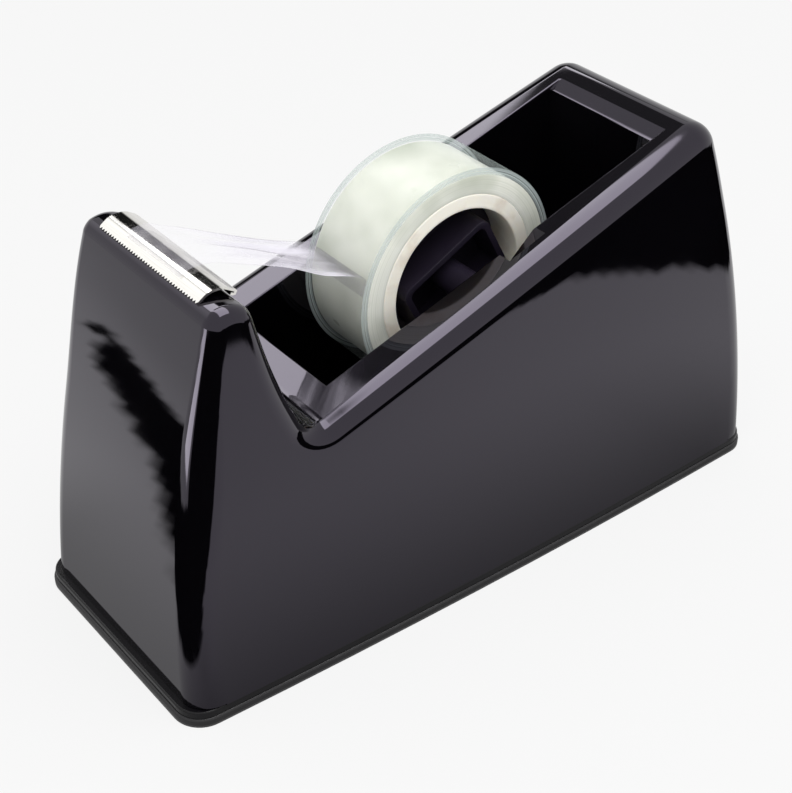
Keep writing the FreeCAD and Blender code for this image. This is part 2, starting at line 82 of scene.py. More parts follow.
class Nodes:
    """Builds one material's node tree in short steps."""

    def __init__(self, name: str) -> None:
        """Starts a material with a Principled shader.

        Args:
            name: The material's name.
        """
        self.material = bpy.data.materials.new(name)
        self.material.use_nodes = True
        self.tree = self.material.node_tree
        self.shader = self.tree.nodes["Principled BSDF"]
        coordinates = self.add("ShaderNodeTexCoord")
        self.place = coordinates.outputs["Object"]
        self.facing = coordinates.outputs["Normal"]

    def add(self, kind: str, **settings: object) -> bpy.types.Node:
        """Adds a node.

        Args:
            kind: The node's class name.
            **settings: Properties to set on it.

        Returns:
            The new node.
        """
        node = self.tree.nodes.new(kind)
        for key, value in settings.items():
            setattr(node, key, value)
        return node

    def link(self, source: bpy.types.NodeSocket, target: bpy.types.NodeSocket) -> None:
        """Joins an output to an input."""
        self.tree.links.new(source, target)

    def feed(self, socket: str, source: bpy.types.NodeSocket) -> None:
        """Joins an output to one of the shader's inputs."""
        self.link(source, self.shader.inputs[socket])

    def combined(self, operation: str, *sources: bpy.types.NodeSocket) -> bpy.types.NodeSocket:
        """Result of a math operation on one or two values."""
        node = self.add("ShaderNodeMath", operation=operation)
        for source, target in zip(sources, node.inputs):
            self.link(source, target)
        return node.outputs["Value"]

    def set(self, **values: object) -> None:
        """Sets sockets of the shader; an underscore in a key stands for a space."""
        for key, value in values.items():
            self.shader.inputs[key.replace("_", " ")].default_value = value

    def stretched(self, scale: Sequence[float]) -> bpy.types.NodeSocket:
        """Object coordinates scaled along each axis.

        Args:
            scale: Factor for X, Y and Z.

        Returns:
            The scaled coordinates.
        """
        mapping = self.add("ShaderNodeMapping")
        mapping.inputs["Scale"].default_value = scale
        self.link(self.place, mapping.inputs["Vector"])
        return mapping.outputs["Vector"]

    def noise(self, scale: float, detail: float = 3.0,
              stretch: Sequence[float] = (1.0, 1.0, 1.0)) -> bpy.types.NodeSocket:
        """Noise over the object's coordinates.

        Args:
            scale: Noise cells in each metre.
            detail: Octaves of the noise.
            stretch: Extra factor for each axis.

        Returns:
            The noise value, from 0 to 1.
        """
        texture = self.add("ShaderNodeTexNoise")
        texture.inputs["Scale"].default_value = scale
        texture.inputs["Detail"].default_value = detail
        self.link(self.stretched(stretch), texture.inputs["Vector"])
        return texture.outputs["Fac"]

    def rings(self, scale: float) -> bpy.types.NodeSocket:
        """Fine rings: noise that varies only with the distance from the roll's axle.

        Args:
            scale: Noise cells in each metre of that distance.

        Returns:
            The noise value, from 0 to 1.
        """
        across = self.add("ShaderNodeVectorMath", operation="SUBTRACT")
        self.link(self.place, across.inputs[0])
        across.inputs[1].default_value = (0.0, AXLE_AT[0] * MM, AXLE_AT[1] * MM)
        flat = self.add("ShaderNodeVectorMath", operation="MULTIPLY")
        self.link(across.outputs["Vector"], flat.inputs[0])
        flat.inputs[1].default_value = (0.0, 1.0, 1.0)
        radius = self.add("ShaderNodeVectorMath", operation="LENGTH")
        self.link(flat.outputs["Vector"], radius.inputs[0])
        texture = self.add("ShaderNodeTexNoise", noise_dimensions="1D")
        self.link(radius.outputs["Value"], texture.inputs["W"])
        texture.inputs["Scale"].default_value = scale
        return texture.outputs["Fac"]

    def ranged(self, value: bpy.types.NodeSocket, low: float, high: float,
               start: float = 0.0, end: float = 1.0) -> bpy.types.NodeSocket:
        """Maps a value from start..end to low..high, clamped.

        Args:
            value: What to map.
            low: Result at start.
            high: Result at end.
            start: Value that gives low.
            end: Value that gives high.

        Returns:
            The mapped value.
        """
        node = self.add("ShaderNodeMapRange")
        for key, number in (("From Min", start), ("From Max", end), ("To Min", low), ("To Max", high)):
            node.inputs[key].default_value = number
        self.link(value, node.inputs["Value"])
        return node.outputs["Result"]

    def blended(self, share: bpy.types.NodeSocket, first: Colour, second: Colour) -> bpy.types.NodeSocket:
        """Colour between two, by a share.

        Args:
            share: 0 gives the first colour and 1 the second.
            first: First colour.
            second: Second colour.

        Returns:
            The blended colour.
        """
        ramp = self.add("ShaderNodeValToRGB")
        ramp.color_ramp.elements[0].color = (*first, 1.0)
        ramp.color_ramp.elements[1].color = (*second, 1.0)
        self.link(share, ramp.inputs["Fac"])
        return ramp.outputs["Color"]

    def bump(self, heights: Iterable[tuple[bpy.types.NodeSocket, float, float]]) -> None:
        """Chains bumps into the shader's normal.

        Args:
            heights: For each bump its height source, strength, and depth in millimetres.
        """
        normal = None
        for source, strength, depth in heights:
            node = self.add("ShaderNodeBump")
            node.inputs["Strength"].default_value = strength
            node.inputs["Distance"].default_value = depth * MM
            self.link(source, node.inputs["Height"])
            if normal is not None:
                self.link(normal, node.inputs["Normal"])
            normal = node.outputs["Normal"]
        self.link(normal, self.shader.inputs["Normal"])


@dataclass(frozen=True)
class MouldedGloss:
    """High-gloss injection-moulded black plastic, with the slight waviness that moulding leaves."""

    name: str = "moulded_gloss"
    dark: Colour = (0.0008, 0.0007, 0.0011)
    light: Colour = (0.0020, 0.0017, 0.0025)
    roughness: Pair = (0.02, 0.055)
    ior: float = 1.58
    tint: Colour = (0.88, 0.80, 1.0)
    wave_depth: float = 0.16
    grain_depth: float = 0.004

    def build(self) -> bpy.types.Material:
        """Makes the material."""
        n = Nodes(self.name)
        n.set(IOR=self.ior, Specular_Tint=(*self.tint, 1.0))
        n.feed("Base Color", n.blended(n.noise(30.0), self.dark, self.light))
        n.feed("Roughness", n.ranged(n.noise(90.0, 5.0), *self.roughness, 0.3, 0.75))
        n.bump([(n.noise(26.0, 1.0), 0.35, self.wave_depth), (n.noise(2600.0), 0.10, self.grain_depth)])
        return n.material


@dataclass(frozen=True)
class MouldedSatin:
    """Satin black plastic with a fine moulded grain."""

    name: str
    dark: Colour = (0.0016, 0.0014, 0.0020)
    light: Colour = (0.0045, 0.0040, 0.0052)
    roughness: Pair = (0.30, 0.46)
    grain_scale: float = 1600.0
    grain_depth: float = 0.02

    def build(self) -> bpy.types.Material:
        """Makes the material."""
        n = Nodes(self.name)
        n.set(IOR=1.5, Specular_IOR_Level=0.3)
        n.feed("Base Color", n.blended(n.noise(140.0, 4.0), self.dark, self.light))
        n.feed("Roughness", n.ranged(n.noise(420.0, 4.0), *self.roughness, 0.3, 0.7))
        n.bump([(n.noise(160.0, 2.0), 0.2, 0.05), (n.noise(self.grain_scale), 0.35, self.grain_depth)])
        return n.material


@dataclass(frozen=True)
class FoamRubber:
    """Dense rubber pad with small pores."""

    name: str = "foam_rubber"
    dark: Colour = (0.004, 0.0038, 0.0045)
    light: Colour = (0.013, 0.012, 0.014)
    pore_scale: float = 1500.0

    def build(self) -> bpy.types.Material:
        """Makes the material."""
        n = Nodes(self.name)
        n.set(IOR=1.5)
        n.feed("Base Color", n.blended(n.noise(500.0, 5.0), self.dark, self.light))
        n.feed("Roughness", n.ranged(n.noise(260.0), 0.30, 0.52))
        pores = n.add("ShaderNodeTexVoronoi")
        pores.inputs["Scale"].default_value = self.pore_scale
        n.link(n.place, pores.inputs["Vector"])
        n.bump([(pores.outputs["Distance"], 0.25, 0.04)])
        return n.material


@dataclass(frozen=True)
class RolledSteel:
    """Bright steel with fine rolling lines along one axis and faint smudges."""

    name: str
    dark: Colour = (0.52, 0.51, 0.49)
    light: Colour = (0.74, 0.74, 0.73)
    roughness: Pair = (0.10, 0.26)
    line_stretch: Sequence[float] = (1.0, 40.0, 40.0)
    line_scale: float = 160.0
    line_depth: float = 0.006

    def build(self) -> bpy.types.Material:
        """Makes the material."""
        n = Nodes(self.name)
        n.set(Metallic=1.0)
        lines = n.noise(self.line_scale, 5.0, self.line_stretch)
        n.feed("Base Color", n.blended(lines, self.dark, self.light))
        n.feed("Roughness", n.ranged(n.noise(300.0, 6.0), *self.roughness, 0.3, 0.7))
        n.bump([(lines, 0.3, self.line_depth)])
        return n.material


@dataclass(frozen=True)
class RoughIron:
    """Rough cast iron of the hidden weights."""

    name: str
    dark: Colour = (0.06, 0.055, 0.05)
    light: Colour = (0.2, 0.19, 0.18)

    def build(self) -> bpy.types.Material:
        """Makes the material."""
        n = Nodes(self.name)
        n.set(Metallic=1.0)
        n.feed("Base Color", n.blended(n.noise(400.0, 6.0), self.dark, self.light))
        n.feed("Roughness", n.ranged(n.noise(200.0), 0.55, 0.8))
        n.bump([(n.noise(600.0, 5.0), 0.6, 0.2)])
        return n.material


@dataclass(frozen=True)
class MilkyTurns:
    """Many wound turns of clear tape: cloudy white, with streaks along the turns, and a faint painted glow of
    their own.
    """

    name: str = "milky_turns"
    deep: Colour = (0.46, 0.49, 0.41)
    pale: Colour = (0.80, 0.81, 0.74)
    # painted glow: strength of a faint light that the turns give off, though they are no lamp
    glow: float = 0.02
    ring_scale: float = 3600.0

    def build(self) -> bpy.types.Material:
        """Makes the material."""
        n = Nodes(self.name)
        # The emission colour and strength paint a faint glow onto the turns.
        n.set(IOR=1.42, Subsurface_Weight=0.35, Subsurface_Radius=(1.0, 1.0, 0.85),
              Subsurface_Scale=2.5 * MM, Emission_Color=(0.95, 0.97, 0.90, 1.0), Emission_Strength=self.glow)
        cloud = n.ranged(n.noise(60.0), 0.0, 1.0, 0.30, 0.56)
        ringed = n.ranged(n.rings(self.ring_scale), 0.62, 1.0, 0.3, 0.6)
        n.feed("Base Color", n.blended(n.combined("MULTIPLY", cloud, ringed), self.deep, self.pale))
        n.feed("Roughness", n.ranged(n.noise(150.0), 0.22, 0.38))
        n.bump([(n.noise(120.0, 2.0, (0.3, 1.0, 1.0)), 0.25, 0.10)])
        return n.material


@dataclass(frozen=True)
class ClearTurns:
    """The outermost turns: clear, with fine rings on their cut ends, and hazier seen edge on."""

    name: str = "clear_turns"
    deep: Colour = (0.42, 0.50, 0.50)
    pale: Colour = (0.66, 0.72, 0.70)
    opacity: Pair = (0.02, 0.5)
    cut_opacity: Pair = (0.30, 0.85)
    ring_scale: float = 5200.0

    def build(self) -> bpy.types.Material:
        """Makes the material."""
        n = Nodes(self.name)
        n.set(IOR=1.30)
        n.feed("Base Color", n.blended(n.noise(90.0), self.deep, self.pale))
        slant = n.add("ShaderNodeLayerWeight")
        slant.inputs["Blend"].default_value = 0.22
        edge = n.ranged(slant.outputs["Facing"], 0.0, 1.0, 0.35, 1.0)
        patchy = n.ranged(n.noise(70.0, 2.0), 0.6, 1.4, 0.35, 0.65)
        turned = n.add("ShaderNodeSeparateXYZ")
        n.link(n.facing, turned.inputs["Vector"])
        cut = n.ranged(n.combined("ABSOLUTE", turned.outputs["X"]), 0.0, 1.0, 0.8, 0.95)
        rings = n.ranged(n.rings(self.ring_scale), *self.cut_opacity, 0.3, 0.7)
        around = n.ranged(n.combined("MULTIPLY", edge, patchy), *self.opacity)
        n.feed("Alpha", n.combined("MAXIMUM", around, n.combined("MULTIPLY", cut, rings)))
        n.feed("Roughness", n.ranged(n.noise(140.0, 4.0), 0.10, 0.25, 0.35, 0.7))
        return n.material


@dataclass(frozen=True)
class ThinFilm:
    """A single thickness of clear tape, hazy where it is creased and stretched."""

    name: str = "thin_film"
    deep: Colour = (0.66, 0.63, 0.72)
    pale: Colour = (0.80, 0.78, 0.84)
    opacity: Pair = (0.04, 0.78)
    hazy_y: Pair = (-42.0, -30.0)
    lying_y: Pair = (-22.0, -18.0)

    def build(self) -> bpy.types.Material:
        """Makes the material."""
        n = Nodes(self.name)
        n.set(IOR=1.35)
        n.feed("Base Color", n.blended(n.noise(120.0), self.deep, self.pale))
        axes = n.add("ShaderNodeSeparateXYZ")
        n.link(n.place, axes.inputs["Vector"])
        hazy = n.ranged(axes.outputs["Y"], 0.12, 1.0, self.hazy_y[0] * MM, self.hazy_y[1] * MM)
        lying = n.ranged(axes.outputs["Y"], 1.0, 0.1, self.lying_y[0] * MM, self.lying_y[1] * MM)
        streaks = n.ranged(n.noise(230.0, 3.0, (1.0, 0.14, 0.14)), 0.12, 1.0, 0.36, 0.66)
        haze = n.combined("MULTIPLY", n.combined("MULTIPLY", hazy, lying), streaks)
        n.feed("Alpha", n.ranged(haze, *self.opacity))
        n.feed("Roughness", n.ranged(n.noise(90.0), 0.12, 0.3))
        n.bump([(n.noise(150.0, 3.0, (1.0, 0.25, 0.25)), 0.35, 0.25)])
        return n.material


@dataclass(frozen=True)
class CreamPlastic:
    """Cream core, a little translucent, with a stained and roughly cut edge."""

    name: str = "cream_plastic"
    shade: Colour = (0.74, 0.66, 0.55)
    body: Colour = (0.90, 0.86, 0.76)

    def build(self) -> bpy.types.Material:
        """Makes the material."""
        n = Nodes(self.name)
        n.set(IOR=1.46, Subsurface_Weight=0.25, Subsurface_Radius=(1.0, 0.8, 0.5),
              Subsurface_Scale=2.0 * MM)
        stain = n.ranged(n.noise(220.0, 5.0), 0.0, 1.0, 0.28, 0.5)
        n.feed("Base Color", n.blended(stain, self.shade, self.body))
        n.feed("Roughness", n.ranged(n.noise(300.0), 0.35, 0.55))
        n.bump([(n.noise(900.0, 4.0), 0.4, 0.08)])
        return n.material


# ---------------------------------------------------------------- mesh helpers


def smoothstep(share: float) -> float:
    """Eases a share from 0 to 1, held outside that range."""
    share = min(max(share, 0.0), 1.0)
    return share * share * (3.0 - 2.0 * share)


def mix(first: float, second: float, share: float) -> float:
    """Value at a share of the way from the first to the second."""
    return first + (second - first) * share


@dataclass
class Bow:
    """Gently bowed edge in the YZ plane, from one point to another."""

    start: Pair
    end: Pair
    sag: float = 0.0

    def at(self, share: float) -> Vector:
        """Point at a share of the way along.

        Args:
            share: 0 is the start and 1 the end.

        Returns:
            The point, as y and z.
        """
        start, end = Vector(self.start), Vector(self.end)
        chord = end - start
        left = Vector((-chord.y, chord.x)).normalized()
        return start + chord * share + left * (4.0 * self.sag * share * (1.0 - share))

    def length(self) -> float:
        """Straight length of the edge."""
        return (Vector(self.end) - Vector(self.start)).length

    def heading(self, share: float) -> Vector:
        """Unit direction of travel near a share of the way along."""
        step = 0.001
        return (self.at(share + step) - self.at(share - step)).normalized()


def rounded_path(edges: Sequence[Bow], radii: Sequence[float], steps: Sequence[int],
                 corner_steps: int) -> tuple[list[Vector], list[int]]:
    """Joins bowed edges end to end and rounds the corners between them.

    Args:
        edges: The edges in order, each starting where the last one ends.
        radii: Radius of the corner after each edge but the last.
        steps: Samples along each edge.
        corner_steps: Samples round each corner.

    Returns:
        The points, and for each point the number of its edge, or -1 on a corner.
    """
    setbacks = [0.0]
    for before, after, radius in zip(edges, edges[1:], radii):
        turn = before.heading(1.0).angle(after.heading(0.0))
        setbacks.append(radius * math.tan(turn / 2.0))
    setbacks.append(0.0)
    points: list[Vector] = []
    owner: list[int] = []
    for k, edge in enumerate(edges):
        first = setbacks[k] / edge.length()
        last = 1.0 - setbacks[k + 1] / edge.length()
        for i in range(steps[k] + 1):
            points.append(edge.at(first + (last - first) * i / steps[k]))
            owner.append(k)
        if k + 1 < len(edges):
            following = edges[k + 1]
            entry = setbacks[k + 1] / following.length()
            reach = ARC_HANDLE * setbacks[k + 1]
            begin, finish = points[-1], following.at(entry)
            leaving = begin + edge.heading(last) * reach
            arriving = finish - following.heading(entry) * reach
            for i in range(1, corner_steps):
                t = i / corner_steps
                u = 1.0 - t
                points.append(begin * u ** 3 + leaving * 3 * u * u * t
                              + arriving * 3 * u * t * t + finish * t ** 3)
                owner.append(-1)
    return points, owner


def to_object(name: str, mesh_builder: bmesh.types.BMesh, finish: bpy.types.Material,
              smooth: bool = True) -> bpy.types.Object:
    """Turns a bmesh in millimetres into an object in metres.

    Args:
        name: Name of the new object.
        mesh_builder: The bmesh, which is freed.
        finish: Its material.
        smooth: Whether its faces are shaded smooth.

    Returns:
        The new object, linked to the scene.
    """
    bmesh.ops.recalc_face_normals(mesh_builder, faces=mesh_builder.faces)
    mesh = bpy.data.meshes.new(name)
    mesh_builder.to_mesh(mesh)
    mesh_builder.free()
    mesh.transform(Matrix.Scale(MM, 4))
    for polygon in mesh.polygons:
        polygon.use_smooth = smooth
    mesh.materials.append(finish)
    piece = bpy.data.objects.new(name, mesh)
    bpy.context.scene.collection.objects.link(piece)
    return piece


def apply_modifiers(piece: bpy.types.Object) -> None:
    """Makes a piece's modifiers part of its mesh."""
    bpy.context.view_layer.update()
    graph = bpy.context.evaluated_depsgraph_get()
    mesh = bpy.data.meshes.new_from_object(piece.evaluated_get(graph))
    piece.modifiers.clear()
    piece.data = mesh


def mark_sharp(piece: bpy.types.Object, angle: float, least_area: float = 0.01,
               least_fold: float = 62.0) -> None:
    """Marks the edges between real faces that meet at more than an angle.

    Args:
        piece: The piece.
        angle: The angle in degrees.
        least_area: Faces smaller than this, in square millimetres, need a sharper fold.
        least_fold: That sharper fold, in degrees.
    """
    mesh = bmesh.new()
    mesh.from_mesh(piece.data)
    for edge in mesh.edges:
        real = all(face.calc_area() > least_area * MM * MM for face in edge.link_faces)
        limit = math.radians(angle if real else least_fold)
        edge.smooth = not (len(edge.link_faces) == 2 and edge.calc_face_angle() > limit)
    mesh.to_mesh(piece.data)
    mesh.free()


def soften(piece: bpy.types.Object, width: float, segments: int = 2, angle: float = 40.0,
           wanted: Callable[[Vector], bool] | None = None) -> None:
    """Rounds a piece's sharp edges and lets its flat faces keep their own shading.

    Args:
        piece: The piece.
        width: Width of the rounding in millimetres.
        segments: Segments across it.
        angle: Edges sharper than this many degrees are rounded.
        wanted: Test of a point in millimetres that both ends of an edge must pass, or nothing.
    """
    mesh = bmesh.new()
    mesh.from_mesh(piece.data)
    weight = mesh.edges.layers.float.new("bevel_weight_edge")
    for edge in mesh.edges:
        sharp = len(edge.link_faces) == 2 and edge.calc_face_angle() > math.radians(angle)
        inside = wanted is None or all(wanted(vert.co / MM) for vert in edge.verts)
        edge[weight] = 1.0 if sharp and inside else 0.0
    mesh.to_mesh(piece.data)
    mesh.free()
    bevel = piece.modifiers.new("edges", "BEVEL")
    bevel.width = width * MM
    bevel.segments = segments
    bevel.limit_method = "WEIGHT"
    bevel.use_clamp_overlap = False
    apply_modifiers(piece)
    mark_sharp(piece, angle)
    normals = piece.modifiers.new("normals", "WEIGHTED_NORMAL")
    normals.mode = "FACE_AREA"
    normals.weight = 90
    normals.keep_sharp = True
    apply_modifiers(piece)


def add_grid(mesh: bmesh.types.BMesh, rows: Sequence[Sequence[Vector]], around: bool = False,
             closed: bool = False) -> list[list[bmesh.types.BMVert]]:
    """Adds a sheet of quads through rows of points.

    Args:
        mesh: Where to add it.
        rows: Rows of points, all of one length.
        around: Whether the last row joins back to the first.
        closed: Whether each row's last point joins back to its first.

    Returns:
        The vertices, row by row.
    """
    verts = [[mesh.verts.new(point) for point in row] for row in rows]
    count = len(rows)
    for i in range(count if around else count - 1):
        row, following = verts[i], verts[(i + 1) % count]
        size = len(row)
        for j in range(size if closed else size - 1):
            k = (j + 1) % size
            mesh.faces.new((row[j], row[k], following[k], following[j]))
    return verts


@dataclass
class Lathe:
    """Turned shape about the axle line: a closed outline of x and radius, turned all round."""

    axle: Pair
    segments: int = 128

    def add(self, mesh: bmesh.types.BMesh, outline: Sequence[Pair],
            wobble: Callable[[float, float], float] | None = None) -> None:
        """Turns an outline about the axle line.

        Args:
            mesh: Where to add the shape.
            outline: Closed outline of x and radius, in millimetres.
            wobble: Extra radius for an angle and an x, or nothing.
        """
        rows = []
        for i in range(self.segments):
            angle = 2.0 * math.pi * i / self.segments
            row = []
            for x, radius in outline:
                r = radius + (wobble(angle, x) if wobble else 0.0)
                y, z = self.axle[0] + r * math.cos(angle), self.axle[1] + r * math.sin(angle)
                row.append(Vector((x, y, z)))
            rows.append(row)
        add_grid(mesh, rows, around=True, closed=True)


def rounded_ring(x_low: float, x_high: float, inner: float, outer: float, edge: float,
                 face_steps: int = 1, ripple: float = 0.0, steps: int = 3) -> list[Pair]:
    """Closed outline of a ring with rounded edges, as x and radius.

    Args:
        x_low: One end face.
        x_high: Other end face.
        inner: Inner radius.
        outer: Outer radius.
        edge: Rounding of its four edges.
        face_steps: Ridges across each end face.
        ripple: Height of those ridges.
        steps: Segments of each rounding.

    Returns:
        The outline.
    """
    points: list[Pair] = []
    corners = ((x_high - edge, outer - edge, 90.0), (x_high - edge, inner + edge, 0.0),
               (x_low + edge, inner + edge, -90.0), (x_low + edge, outer - edge, -180.0))
    for number, (cx, cr, start) in enumerate(corners):
        for i in range(steps + 1):
            angle = math.radians(start - 90.0 * i / steps)
            points.append((cx + edge * math.cos(angle), cr + edge * math.sin(angle)))
        if number in (0, 2) and face_steps > 1:
            sign = 1.0 if number == 0 else -1.0
            x_face = x_high if number == 0 else x_low
            span = outer - inner - 2.0 * edge
            for i in range(1, face_steps):
                share = i / face_steps
                radius = outer - edge - span * share if number == 0 else inner + edge + span * share
                points.append((x_face - sign * ripple * (i % 2), radius))
    return points


def fit_pieces(pieces: Iterable[bpy.types.Object], body: Body) -> None:
    """Puts pieces on a body."""
    for piece in pieces:
        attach(piece, body.value)


# ---------------------------------------------------------------- sub-assemblies


@dataclass
class Housing:
    """The tall glossy shell with its well, its axle slots and the ribs that carry the cutter."""

    front_foot: Pair = (-61.4, 2.8)
    nose_front: Pair = (-50.9, 68.1)
    nose_back: Pair = (-43.7, 67.5)
    valley: Pair = (-35.7, 42.99)
    rear_top: Pair = (48.7, 70.09)
    rear_foot: Pair = (62.1, 2.8)
    front_sag: float = 2.0
    nose_sag: float = 1.2
    nose_back_sag: float = -0.75
    rear_sag: float = 3.2
    nose_round: float = 3.1
    valley_round: float = 4.0
    rear_round: float = 4.8
    foot_half_width: float = 23.7
    draft: float = 0.0818
    bulge: float = 1.0
    bulge_reach: float = 62.9
    corner_round: float = 5.0
    nose_side_round: float = 2.6
    valley_side_round: float = 3.5
    rail_side_round: float = 4.5
    well_half_width: float = 12.8
    well_front: float = -28.0
    well_rear: float = 40.0
    well_floor: float = 18.0
    rim_rear: Pair = (42.2, 68.0)
    ledge_drop: float = 0.9
    axle: Pair = AXLE_AT
    slot_mouth: float = 10.2
    slot_half: float = 1.6
    slot_depth: float = 2.5
    slot_overrun: float = 22.0
    slot_steps: int = 12
    lip_round: float = 0.28
    seat_spacing: float = 18.0
    seat_width: float = 1.2
    seat_y: Pair = (-47.7, -45.8)
    seat_top: float = 69.72
    side_rows: int = 22
    column_gap: float = 0.5
    round_steps: int = 9

    def edges(self) -> list[Bow]:
        """Edges of the side view, from the front foot over the top to the rear foot."""
        return [
            Bow(self.front_foot, self.nose_front, self.front_sag),
            Bow(self.nose_front, self.nose_back, self.nose_sag),
            Bow(self.nose_back, self.valley, self.nose_back_sag),
            Bow(self.valley, self.rear_top),
            Bow(self.rear_top, self.rear_foot, self.rear_sag),
        ]

    def half_width(self, y: float, z: float) -> float:
        """Half width of the side faces.

        Args:
            y: Place along the length.
            z: Height.

        Returns:
            Distance of the side face from the middle plane.
        """
        bow = self.bulge * (1.0 - (y / self.bulge_reach) ** 2)
        return self.foot_half_width - self.draft * (z - self.front_foot[1]) + bow

    def side_normal(self, y: float) -> Vector:
        """Outward unit normal of the +X side face at a place along the length."""
        return Vector((1.0, 2.0 * self.bulge * y / self.bulge_reach ** 2, self.draft)).normalized()

    def side_round(self, point: Vector) -> float:
        """Radius of the rounding between the side faces and the rest.

        Args:
            point: The profile's point.

        Returns:
            The radius there.
        """
        y, z = point
        if y < self.nose_front[0] + 1.0 and z < self.nose_front[1]:
            return mix(self.corner_round, self.nose_side_round, smoothstep((z - 40.0) / 26.0))
        if y > self.rear_top[0] - 0.5:
            fall = smoothstep((self.rear_top[1] - 3.0 - z) / 14.0)
            return mix(self.rail_side_round, self.corner_round, fall)
        if y < self.valley[0]:
            return mix(self.nose_side_round, self.valley_side_round, smoothstep((66.0 - z) / 16.0))
        along = (y - self.valley[0]) / (self.rear_top[0] - self.valley[0])
        return mix(self.valley_side_round, self.rail_side_round, along)

    def outer_rows(self) -> tuple[list[list[Vector]], list[int]]:
        """Cross rows of the top and ends, each from the left side face over to the right one."""
        path, owner = rounded_path(
            self.edges(),
            (self.nose_round, self.nose_round, self.valley_round, self.rear_round),
            (40, 10, 20, 30, 44), 10)
        rows = []
        for i, point in enumerate(path):
            before, after = path[max(i - 1, 0)], path[min(i + 1, len(path) - 1)]
            run = (after - before).normalized()
            out = Vector((0.0, -run.y, run.x))
            radius = self.side_round(point)
            y_in, z_in = point.x - radius * out.y, point.y - radius * out.z
            side = self.side_normal(y_in)
            centre = Vector((self.half_width(y_in, z_in) - radius / side.x, y_in, z_in))
            turn = out.angle(side)
            half = []
            for j in range(self.round_steps + 1):
                share = j / self.round_steps
                way = (out * math.sin((1.0 - share) * turn) + side * math.sin(share * turn)) / math.sin(turn)
                place = centre + way * radius
                place.z = max(place.z, self.front_foot[1])
                half.append(place)
            mirrored = [Vector((-p.x, p.y, p.z)) for p in reversed(half)]
            rows.append(mirrored + half)
        return rows, owner

    def add_side(self, mesh: bmesh.types.BMesh, ends: Sequence[bmesh.types.BMVert],
                 side: int) -> list[bmesh.types.BMVert]:
        """Fills one side face below its rounding with upright columns of faces.

        Args:
            mesh: Where to add it.
            ends: Lower ends of the rounding, from the front to the rear.
            side: 1 for the +X side and -1 for the other.

        Returns:
            The vertices along the foot, from the front to the rear.
        """
        foot_z = self.front_foot[1]

        def patch(*corners: bmesh.types.BMVert) -> None:
            """Adds one face through the corners that differ."""
            unique = [c for k, c in enumerate(corners) if c is not corners[k - 1]]
            if len(unique) > 2:
                mesh.faces.new(unique)

        groups = [[ends[0]]]
        for end in ends[1:]:
            if abs(end.co.y - groups[-1][0].co.y) < self.column_gap:
                groups[-1].append(end)
            else:
                groups.append([end])
        columns = []
        for group in groups:
            highest = max(group, key=lambda vert: vert.co.z)
            y, top_z = highest.co.y, min(vert.co.z for vert in group)
            if len(group) == 1:
                top = highest
            else:
                top = mesh.verts.new((side * self.half_width(y, top_z), y, top_z))
            column = [top]
            for j in range(1, self.side_rows + 1):
                z = top_z + (foot_z - top_z) * j / self.side_rows
                grounded = top_z - foot_z < 0.01
                column.append(top if grounded else mesh.verts.new((side * self.half_width(y, z), y, z)))
            for first, second in zip(group, group[1:]):
                patch(first, second, top)
            columns.append(column)
        for before, after, left, right in zip(groups, groups[1:], columns, columns[1:]):
            patch(before[-1], after[0], right[0], left[0])
            for j in range(self.side_rows):
                patch(left[j], right[j], right[j + 1], left[j + 1])
        return [column[-1] for column in columns]

    def outer_mesh(self) -> bmesh.types.BMesh:
        """Closed mesh of the outside, with the whole rail as one flat face."""
        rows, owner = self.outer_rows()
        mesh = bmesh.new()
        verts = [[mesh.verts.new(p) for p in row] for row in rows]
        middle = len(rows[0]) // 2 - 1
        rail_rows = [i for i in range(len(rows)) if owner[i] == 3]
        for i in range(len(rows) - 1):
            flat = i in rail_rows and i + 1 in rail_rows
            for j in range(len(rows[0]) - 1):
                if flat and j == middle:
                    continue
                mesh.faces.new((verts[i][j], verts[i][j + 1], verts[i + 1][j + 1], verts[i + 1][j]))
        rail = [verts[i][middle] for i in rail_rows] + [verts[i][middle + 1] for i in reversed(rail_rows)]
        mesh.faces.new(rail)
        right = self.add_side(mesh, [row[-1] for row in verts], 1)
        left = self.add_side(mesh, [row[0] for row in verts], -1)
        around = [*verts[0], *right, *reversed(verts[-1]), *reversed(left)]
        mesh.faces.new([v for k, v in enumerate(around) if v is not around[k - 1]])
        bmesh.ops.remove_doubles(mesh, verts=mesh.verts, dist=0.0005)
        return mesh

    def rail_height(self, y: float) -> float:
        """Height of the rail plane at a place along the length."""
        slope = (self.rear_top[1] - self.valley[1]) / (self.rear_top[0] - self.valley[0])
        return self.valley[1] + slope * (y - self.valley[0])

    def well_cutter(self, finish: bpy.types.Material) -> bpy.types.Object:
        """Solid that hollows out the well and its rear ledge."""
        top = self.rear_top[1] + 8.0
        outline = [
            (self.well_front, self.well_floor), (self.well_rear, self.well_floor),
            (self.well_rear, self.rail_height(self.well_rear) - self.ledge_drop),
            (self.rim_rear[0], self.rail_height(self.rim_rear[0])),
            (self.rim_rear[0], top), (self.well_front, top),
        ]
        return self.prism("well_cutter", outline, -self.well_half_width, self.well_half_width, finish)

